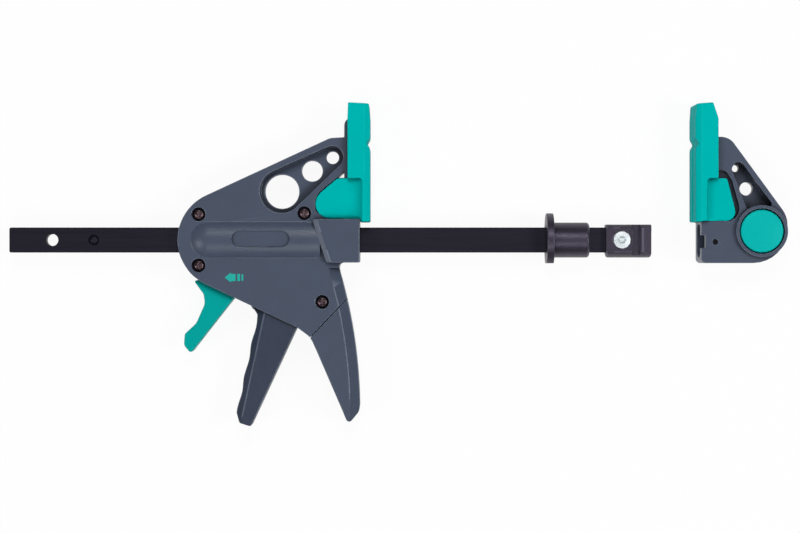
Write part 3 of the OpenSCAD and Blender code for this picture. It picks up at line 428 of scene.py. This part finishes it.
def rounded_shape(node, reach):
    """The node with its sharp edges rounded, except where that would spoil the surface."""
    thorns = []
    for attempt in range(TRIES):
        shape = joined_faces(node)
        surface = BVHTree.FromBMesh(shape)
        cut_long_edges(shape)
        clear = (NEAR + WIDEN * attempt) * reach
        sharp = [
            e for e in shape.edges
            if turns_sharply(e)
            and not any((v.co - t).length < clear for v in e.verts for t in thorns)
        ]
        bmesh.ops.bevel(
            shape, geom=sharp, offset=reach, offset_type="OFFSET", segments=ROUND_STEPS, profile=0.5,
            affect="EDGES", clamp_overlap=False)
        shape.normal_update()
        stray = stray_points(shape, surface, reach)
        bent = folded_points(shape)
        if attempt == TRIES - 1 or not (stray or bent):
            break
        thorns += [v.co.copy() for v in bent]
        for vert in stray:
            ends = [e.other_vert(vert) for e in vert.link_edges]
            thorns += [end.co.copy() for end in ends if end not in stray]
        shape.free()
    mark_rubbed_sheen(shape, surface, reach)
    print(node, "edges rounded", len(sharp), "tries", attempt + 1, "points left", len(stray) + len(bent))
    return shape


print("tries at most", TRIES)

# %% [markdown]
# ## From a mesh to a piece
#
# A mesh becomes an object with its finish, stands for its CAD nodes, and rides on their body, so that it
# moves with the joint. Faces are shaded smooth and sharp creases stay. A Weighted Normal modifier lets
# the large flat faces rule the shade, or each flat would show a gradient near its rounded edge.

# %% From a mesh to a piece
FACE_WEIGHT = 100


def new_object(shape, name, *materials):
    """An object with a finished mesh and its finishes; the mesh in the making is freed."""
    mesh = bpy.data.meshes.new(name)
    shape.to_mesh(mesh)
    shape.free()
    for material in materials:
        mesh.materials.append(material)
    piece = bpy.data.objects.new(name, mesh)
    bpy.context.scene.collection.objects.link(piece)
    return piece


def as_piece(shape, name, node, *materials, turn=CREASE):
    """Turns a finished mesh into a smooth piece that stands for its node and rides on its body."""
    for edge in shape.edges:
        edge.smooth = not edge.is_manifold or edge.calc_face_angle() < turn
    for face in shape.faces:
        face.smooth = True
    piece = new_object(shape, name, *materials)
    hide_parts(node)
    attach(piece, body_of_node[node])
    return piece


def softened(node, edge_mm, material):
    """A soft-edged copy of a CAD node that stands for it."""
    shape = rounded_shape(node, edge_mm * MM)
    piece = as_piece(shape, node + "_moulded", node, material)
    shade = piece.modifiers.new("even_shade", "WEIGHTED_NORMAL")
    shade.keep_sharp = True
    shade.weight = FACE_WEIGHT
    return piece


print("weight of flat faces", FACE_WEIGHT)

# %% [markdown]
# ## Shells, levers, pads and bar
#
# A mould leaves about half a millimetre on most edges, more on the soft pads and on the levers that a
# finger pulls, and less inside the jaw, where the plug has to fit. The bar was sheared and tumbled, which
# takes only the bite off its edges. The table gives each piece its rounding in millimetres and its
# finish.

# %% Shells, levers, pads and bar
for node, edge_mm, material in (
    ("rear_housing", 0.5, slate_nylon),
    ("front_cover", 0.5, slate_nylon),
    ("head_pad", 0.6, teal_rubber),
    ("trigger_lever", 0.7, trigger_nylon),
    ("release_lever", 1.0, teal_lever),
    ("end_plug", 0.5, black_nylon),
    ("table_spigot", 0.4, black_nylon),
    ("jaw_body", 0.4, slate_nylon),
    ("jaw_pad", 0.6, teal_rubber),
    ("jaw_cover", 0.3, slate_nylon),
    ("bar", 0.3, black_oxide),
):
    softened(node, edge_mm, material)

# %% [markdown]
# ## Finding the screws
#
# All screws of one kind are one CAD node. Each keeps its place and its size, so we look for the separate
# solids in the node's mesh, by walking from point to point along the edges, and measure the box of each.

# %% Finding the screws
def solid_boxes(node):
    """Lowest and highest corner of each separate solid of a CAD node."""
    shape = bmesh.new()
    shape.from_mesh(frame["nodes"][node].data)
    bmesh.ops.remove_doubles(shape, verts=shape.verts, dist=WELD)
    boxes = []
    reached = set()
    for first in shape.verts:
        if first in reached:
            continue
        solid = {first}
        waiting = [first]
        while waiting:
            vert = waiting.pop()
            fresh = {e.other_vert(vert) for e in vert.link_edges} - solid
            solid |= fresh
            waiting += fresh
        reached |= solid
        low = Vector([min(v.co[i] for v in solid) for i in range(3)])
        high = Vector([max(v.co[i] for v in solid) for i in range(3)])
        boxes.append((low, high))
    shape.free()
    return boxes


print("housing screws found", len(solid_boxes("housing_screws")))

# %% [markdown]
# ## The shape of a screw
#
# The housing is held by small screws with six-lobe sockets and a flat collar round the crown, as screws
# for plastic have, and the plug by a larger bright one. A screw is a turned thing, so it is built as
# rings round its axis, from the bottom of the socket over the crown and the collar and down the shank.
# The rings of the socket are wavy, which makes the six lobes, and the shank's rings go in and out as a
# thread's flanks do. A texture would be quicker, but it has no depth when the light comes from the side.

# %% Rings of a screw
# Shares of the socket's radius: its flat floor and its lobes.
FLOOR_SHARE = 0.6
LOBE_SHARE = 0.14
# Shares of the head's radius: soft lips, rings of the crown, and the rim.
LIP_SHARE = 0.06
CROWN_SHARES = (0.72, 0.82, 0.9, 0.95)
RIM_SHARE = 0.99
# Shares of the head's height: the socket's floor and the collar.
FLOOR_HEIGHT = 0.3
COLLAR_HEIGHT = 0.25
# The thread's pitch, and where its crest and its root lie along one pitch.
THREAD_PITCH = 0.9 * MM
CREST_AT = 0.35
ROOT_AT = 0.75
# Shares of the shank's radius: the thread's root and the point.
ROOT_SHARE = 0.82
POINT_SHARE = 0.45


def screw_rings(head_r, head_h, shank_r, shank_l, socket_share, crown_share, collar_r):
    """Rings of a screw as (radius, lobe depth, height above the head's seat), socket floor first."""
    socket_r = socket_share * head_r
    lobe = LOBE_SHARE * socket_r
    crown = crown_share * head_h
    floor = FLOOR_HEIGHT * head_h
    lip = LIP_SHARE * head_r
    collar_h = COLLAR_HEIGHT * head_h

    def crown_at(r):
        return head_h - crown * (r / head_r) ** 2

    rings = [
        (FLOOR_SHARE * socket_r, 0.0, floor), (socket_r - lip, lobe, floor + lip),
        (socket_r, lobe, crown_at(socket_r) - lip), (socket_r + lip, lobe, crown_at(socket_r))]
    rings += [(share * head_r, 0.0, crown_at(share * head_r)) for share in CROWN_SHARES]
    rings += [
        (RIM_SHARE * head_r, 0.0, crown_at(head_r) - lip), (head_r, 0.0, crown_at(head_r) - 3 * lip)]
    if collar_r > head_r:
        rings += [
            (head_r, 0.0, collar_h), (collar_r - lip, 0.0, collar_h), (collar_r, 0.0, collar_h - lip)]
    rings += [(collar_r, 0.0, 0.0), (shank_r, 0.0, 0.0)]
    for turn in range(int((shank_l - shank_r) / THREAD_PITCH)):
        rings += [
            (shank_r, 0.0, -(turn + CREST_AT) * THREAD_PITCH),
            (ROOT_SHARE * shank_r, 0.0, -(turn + ROOT_AT) * THREAD_PITCH)]
    rings += [(shank_r, 0.0, shank_r - shank_l), (POINT_SHARE * shank_r, 0.0, -shank_l)]
    return rings


sample = screw_rings(3 * MM, 2 * MM, 1.5 * MM, 9 * MM, socket_share=0.5, crown_share=0.4, collar_r=4 * MM)
print("rings of a 9 mm screw", len(sample))

# %% Turning the screws
SIDES = 72
LOBES = 6
# Four rings of the socket, those of the crown and two of the rim have the crown's finish.
CROWN_RINGS = 4 + len(CROWN_SHARES) + 2


def add_turned(shape, centre, seat_z, up, rings, crown_rings):
    """Adds a turned solid to a mesh in the making; up is 1 for a head at the top and -1 at the bottom."""
    loops = []
    for r, lobe, z in rings:
        loop = []
        for k in range(SIDES):
            a = 2 * math.pi * k / SIDES
            wavy = r + lobe * math.cos(LOBES * a)
            loop.append(shape.verts.new(
                (centre[0] + wavy * math.cos(a), centre[1] + up * wavy * math.sin(a), seat_z + up * z)))
        loops.append(loop)
    for i, (inner, outer) in enumerate(zip(loops, loops[1:]), start=1):
        for k in range(SIDES):
            face = shape.faces.new((inner[k], inner[k - 1], outer[k - 1], outer[k]))
            face.material_index = int(i >= crown_rings)
    shape.faces.new(loops[0])
    shape.faces.new(loops[-1][::-1])


def screws(node, crown, collar, head_h, shank_r, socket_share, crown_share, collar_gap=0.0, up=1):
    """Detailed screws in place of a node's plain ones, with one finish on the crown and one below it."""
    shape = bmesh.new()
    boxes = solid_boxes(node)
    for low, high in boxes:
        head_r = (high.x - low.x) / 2
        seat_z = high.z - head_h if up > 0 else low.z + head_h
        shank_l = high.z - low.z - head_h
        rings = screw_rings(
            head_r, head_h, shank_r, shank_l, socket_share, crown_share, head_r + collar_gap)
        add_turned(shape, (low + high) / 2, seat_z, up, rings, CROWN_RINGS)
    bmesh.ops.recalc_face_normals(shape, faces=shape.faces)
    print(node, "screws", len(boxes))
    return as_piece(shape, node + "_turned", node, crown, collar)


# The crowns carry a painted highlight and the collars painted shade.
screws("housing_screws", crown_sheen_steel, collar_shade_steel, head_h=1.6 * MM, shank_r=1.5 * MM,
       socket_share=0.5, crown_share=0.45, collar_gap=0.9 * MM)
screws("plug_screw", bright_zinc, bright_zinc, head_h=2.5 * MM, shank_r=2.5 * MM,
       socket_share=0.36, crown_share=0.2)
screws("cover_screws", crown_sheen_steel, collar_shade_steel, head_h=1.2 * MM, shank_r=1.1 * MM,
       socket_share=0.5, crown_share=0.45, up=-1)

# %% [markdown]
# ## The lock button
#
# The button is a moulded cap on a stem, with a slightly crowned face and a soft rim. The crown's fine CAD
# facets leave a bevel no room, so the button is turned from rings too, as the screws are. Its radii and
# heights are measured on the CAD mesh: the cap's side gives the rim, and the lowest points give the stem.

# %% Measuring the button
# Points this far out are on the cap's side, and points this near the bottom are on the stem's end.
SIDE_SHARE = 0.99
STEM_END = 0.1 * MM

button_points = [v.co for v in frame["nodes"]["lock_button"].data.vertices]
button_low, button_high = (Vector(c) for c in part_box("lock_button"))
button_axis = (button_low + button_high) / 2
cap_r = (button_high.x - button_low.x) / 2
cap_side = [p.z for p in button_points if (p - button_axis).xy.length > SIDE_SHARE * cap_r]
stem_r = max((p - button_axis).xy.length for p in button_points if p.z < button_low.z + STEM_END)
crown = button_high.z - max(cap_side)
print("button radius mm", round(cap_r / MM, 2), "stem", round(stem_r / MM, 2), "crown", round(crown / MM, 2))

# %% Turning the button
BUTTON_EDGE = 1.0 * MM
EDGE_STEPS = 6
FACE_SHARES = (0.1, 0.25, 0.4, 0.55, 0.7, 0.85, 1.0)

face_r = cap_r - BUTTON_EDGE
rings = [(s * face_r, 0.0, button_high.z - crown * (s * face_r / cap_r) ** 2) for s in FACE_SHARES]
face_z = rings[-1][2]
for k in range(1, EDGE_STEPS + 1):
    a = math.pi / 2 * k / EDGE_STEPS
    rings.append((face_r + BUTTON_EDGE * math.sin(a), 0.0, face_z - BUTTON_EDGE * (1 - math.cos(a))))
rings += [(cap_r, 0.0, min(cap_side)), (stem_r, 0.0, min(cap_side)), (stem_r, 0.0, button_low.z)]

shape = bmesh.new()
add_turned(shape, button_axis, 0.0, 1, rings, len(rings))
bmesh.ops.recalc_face_normals(shape, faces=shape.faces)
as_piece(shape, "lock_button_moulded", "lock_button", teal_button)
print("button rings", len(rings))

# %% [markdown]
# ## Springs
#
# Two coil springs lie round the bar inside the head. In CAD their wire has few sides, so each coil is
# swept again as a smooth tube along its helix: at every step a ring of points stands square to the wire.
# When the trigger or the release lever moves, its coil shortens towards the end that stays put, by as
# far as the plate in front of it travels. The table lists that joint and travel for each coil, but the
# coils keep their resting length here.

# %% Coil springs
WIRE = 1.4 * MM
WIRE_SIDES = 14
STEPS_PER_TURN = 40


def coil(node, turns, material):
    """A smooth coil spring along X in the space of its CAD node, and the ends of that space."""
    low, high = (Vector(c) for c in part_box(node))
    mean_r = (high.y - low.y - WIRE) / 2
    start = low.x + WIRE / 2
    run = high.x - low.x - WIRE
    steps = int(turns * STEPS_PER_TURN)
    shape = bmesh.new()
    rings = []
    for i in range(steps + 1):
        a = 2 * math.pi * turns * i / steps
        out = Vector((0.0, math.cos(a), math.sin(a)))
        along = Vector((run / (2 * math.pi * turns), -mean_r * math.sin(a), mean_r * math.cos(a)))
        side = out.cross(along.normalized())
        centre = Vector((start + run * i / steps, 0.0, 0.0)) + mean_r * out
        rings.append([
            shape.verts.new(centre + WIRE / 2 * (math.cos(b) * out + math.sin(b) * side))
            for b in (2 * math.pi * k / WIRE_SIDES for k in range(WIRE_SIDES))])
    for one, two in zip(rings, rings[1:]):
        for k in range(WIRE_SIDES):
            shape.faces.new((one[k - 1], one[k], two[k], two[k - 1]))
    shape.faces.new(rings[0])
    shape.faces.new(rings[-1][::-1])
    bmesh.ops.recalc_face_normals(shape, faces=shape.faces)
    print(node, "turns", turns, "length mm", round((high.x - low.x) / MM, 2))
    return as_piece(shape, node + "_wound", node, material), low.x, high.x


for node, turns, joint, travel in (
    ("drive_spring", 6, "trigger_squeeze", 6.72 * MM),
    ("brake_spring", 3.5, "release_pull", 1.3 * MM),
):
    piece, fixed_x, free_x = coil(node, turns, oiled_steel)
    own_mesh(piece)

# %% [markdown]
# ## The latch wire
#
# A bent wire in the jaw snaps into the plug's groove. Its CAD wire has eight sides, which smooth shading
# turns round, so it keeps that form. The button pushes it down towards the lid, but here the wire keeps
# its resting form.

# %% Latch wire
WIRE_CREASE = math.radians(60)

latch_wire = as_piece(
    joined_faces("latch_spring"), "latch_spring_bent", "latch_spring", oiled_steel, turn=WIRE_CREASE)
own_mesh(latch_wire)

# %% [markdown]
# ## The direction arrow
#
# A small arrow is printed on the near cover beside the release lever: a head and two shorter bars that
# fade out behind it. Pad-printed ink is a layer a few hundredths of a millimetre thick, so each part is
# a thin plate that lies on the face. A ray from above finds that face.

# %% Outlines of the arrow
# In millimetres: the tip's place, then the length and half width of the head and of the shaft.
ARROW_TIP = (-183.0, -20.9)
ARROW_HEAD = (3.4, 2.8)
ARROW_SHAFT = (2.6, 2.0)
# Of each bar: how far it starts behind the tip, its length and its half width.
ARROW_BARS = ((7.0, 1.5, 2.0), (9.3, 1.0, 1.8))

tip_x, tip_y = ARROW_TIP
head_l, head_half = ARROW_HEAD
shaft_l, shaft_half = ARROW_SHAFT
neck_x = tip_x + head_l
outlines = [[
    (tip_x, tip_y), (neck_x, tip_y - head_half), (neck_x, tip_y - shaft_half),
    (neck_x + shaft_l, tip_y - shaft_half), (neck_x + shaft_l, tip_y + shaft_half),
    (neck_x, tip_y + shaft_half), (neck_x, tip_y + head_half)]]
for behind, length, half in ARROW_BARS:
    x0 = tip_x + behind
    x1 = x0 + length
    outlines.append([(x0, tip_y - half), (x1, tip_y - half), (x1, tip_y + half), (x0, tip_y + half)])
print("arrow parts", len(outlines))

# %% Printing the arrow
INK = 0.04 * MM
ABOVE = 1.0

# Ink dries with a fine matt skin, so it is a flat teal a little duller than the pads.
ink = moulded(
    "teal_ink_pad_printed", "#0aa79c", "#0aa79c", grain_mm=1.0, grain_depth_mm=0.005, rough=0.5, shine=0.3)
cover = frame["nodes"]["front_cover"].data
cover_tree = BVHTree.FromPolygons([v.co for v in cover.vertices], [p.vertices for p in cover.polygons])
face_z = cover_tree.ray_cast(Vector((tip_x * MM, tip_y * MM, ABOVE)), Vector((0, 0, -1)))[0].z

shape = bmesh.new()
for outline in outlines:
    bottom = shape.faces.new([shape.verts.new((x * MM, y * MM, face_z)) for x, y in outline])
    raised = bmesh.ops.extrude_face_region(shape, geom=[bottom])["geom"]
    top_points = [part for part in raised if isinstance(part, bmesh.types.BMVert)]
    bmesh.ops.translate(shape, vec=(0, 0, INK), verts=top_points)
bmesh.ops.recalc_face_normals(shape, faces=shape.faces)
arrow = new_object(shape, "direction_arrow", ink)
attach(arrow, body_of_node["front_cover"])
print("arrow on z mm", round(face_z / MM, 3))

# %% [markdown]
# ## Pins, plates, rivet and nut
#
# These are plain steel parts, sheared, turned or blanked, that sit inside or show only an end. Their CAD
# shape is already the real one, so they keep it and only take a steel finish.

# %% Pins, plates, rivet and nut
plain_steel_parts = {
    "stop_rivet": black_oxide, "plug_nut": bright_zinc, "trigger_pin": oiled_steel,
    "release_pin": oiled_steel, "drive_plates": oiled_steel, "brake_plate": oiled_steel,
}
for node, material in plain_steel_parts.items():
    mesh = frame["nodes"][node].data
    mesh.materials.clear()
    mesh.materials.append(material)
print("plain steel parts", len(plain_steel_parts))

# %% [markdown]
# ## The table
#
# The picture is a catalogue cut-out: white all round with almost no shadow. The table is a sheet of white
# paper, and for rays that come straight from the camera, or by way of a glossy or clear surface, most of
# it is a plain white glow. So it stays white while a trace of the real shadow is left, and no extra light
# falls on the clamp.

# %% Table top
# The table is 30 m wide, so that no view reaches its rim, and just clear of the clamp.
FLOOR_SIZE = 30.0
FLOOR_GAP = 0.15 * MM

half = FLOOR_SIZE / 2
floor_mesh = bpy.data.meshes.new("table_top")
floor_mesh.from_pydata(
    [(-half, -half, 0), (half, -half, 0), (half, half, 0), (-half, half, 0)], [], [(0, 1, 2, 3)])
floor = bpy.data.objects.new("table_top", floor_mesh)
floor.location = (*VIEW_CENTRE, cad_box[0][2] - FLOOR_GAP)
bpy.context.scene.collection.objects.link(floor)
print("table top at z mm", round(floor.location.z / MM, 2))

# %% White paper
PAPER_ROUGH = 0.9
GLOW_SHARE = 0.93

# Pressed paper is matt and a shade under white, so that a shadow can still show on it.
paper, tree, shader = new_material("white_paper_sheet")
shader.inputs["Base Color"].default_value = linear("#f4f4f4")
shader.inputs["Roughness"].default_value = PAPER_ROUGH
rays = add(tree, "ShaderNodeLightPath")
direct = add(tree, "ShaderNodeMath", {
    0: rays.outputs["Is Camera Ray"], 1: rays.outputs["Is Glossy Ray"]}, operation="MAXIMUM")
seen = add(tree, "ShaderNodeMath", {
    0: direct.outputs[0], 1: rays.outputs["Is Transmission Ray"]}, operation="MAXIMUM")
share = add(tree, "ShaderNodeMath", {0: seen.outputs[0], 1: GLOW_SHARE}, operation="MULTIPLY")
glow = add(tree, "ShaderNodeEmission", {"Color": (1, 1, 1, 1), "Strength": 1.0})
both = add(tree, "ShaderNodeMixShader", {
    0: share.outputs[0], 1: shader.outputs["BSDF"], 2: glow.outputs["Emission"]})
tree.links.new(both.outputs["Shader"], tree.nodes["Material Output"].inputs["Surface"])
floor_mesh.materials.append(paper)
print("share of glow", GLOW_SHARE)

# %% [markdown]
# ## The light
#
# Four soft boxes stand in a ring round the clamp and look down at it. Faces that look at the camera get
# light from all four and are the brightest, slopes fall off, and rounded edges mirror the box on their
# side as a thin bright line. A lamp beside the camera would do it too, but the flat faces would mirror it
# and their colour turn pale. The sky is nearly dark, which keeps black pieces black.

# %% Soft boxes
# In metres.
LAMP_DISTANCE = 1.6
BOX_SIZE = 0.5


def soft_box(name, compass, tilt, watts):
    """A square lamp that faces the clamp; compass and tilt say where it stands, tilt from straight above."""
    turn = math.radians(compass)
    lean = math.radians(tilt)
    aim = Vector((*VIEW_CENTRE, 0.0))
    off = LAMP_DISTANCE * Vector(
        (math.sin(lean) * math.cos(turn), math.sin(lean) * math.sin(turn), math.cos(lean)))
    lamp = bpy.data.lights.new(name, "AREA")
    lamp.shape = "SQUARE"
    lamp.size = BOX_SIZE
    lamp.energy = watts
    holder = bpy.data.objects.new(name, lamp)
    holder.location = aim + off
    holder.rotation_euler = (-off).to_track_quat("-Z", "Y").to_euler()
    bpy.context.scene.collection.objects.link(holder)
    print("soft box", name, "watts", watts)


soft_box("right", -5, 40, 9.6)
soft_box("far", 90, 28, 8.5)
soft_box("left", 198, 45, 6.5)
soft_box("near", 270, 28, 5.8)

# %% Dim sky
SKY_GLOW = 0.08

world = bpy.data.worlds.new("studio")
world.use_nodes = True
sky = world.node_tree.nodes["Background"]
sky.inputs["Color"].default_value = (1, 1, 1, 1)
sky.inputs["Strength"].default_value = SKY_GLOW
bpy.context.scene.world = world
bpy.context.scene.view_settings.view_transform = "Standard"
print("sky", SKY_GLOW)

# %% [markdown]
# ## The engineered box
#
# The box of the engineered clamp is printed.

# %% Print the engineered box
print("cad", [[round(c, 4) for c in v] for v in cad_box])
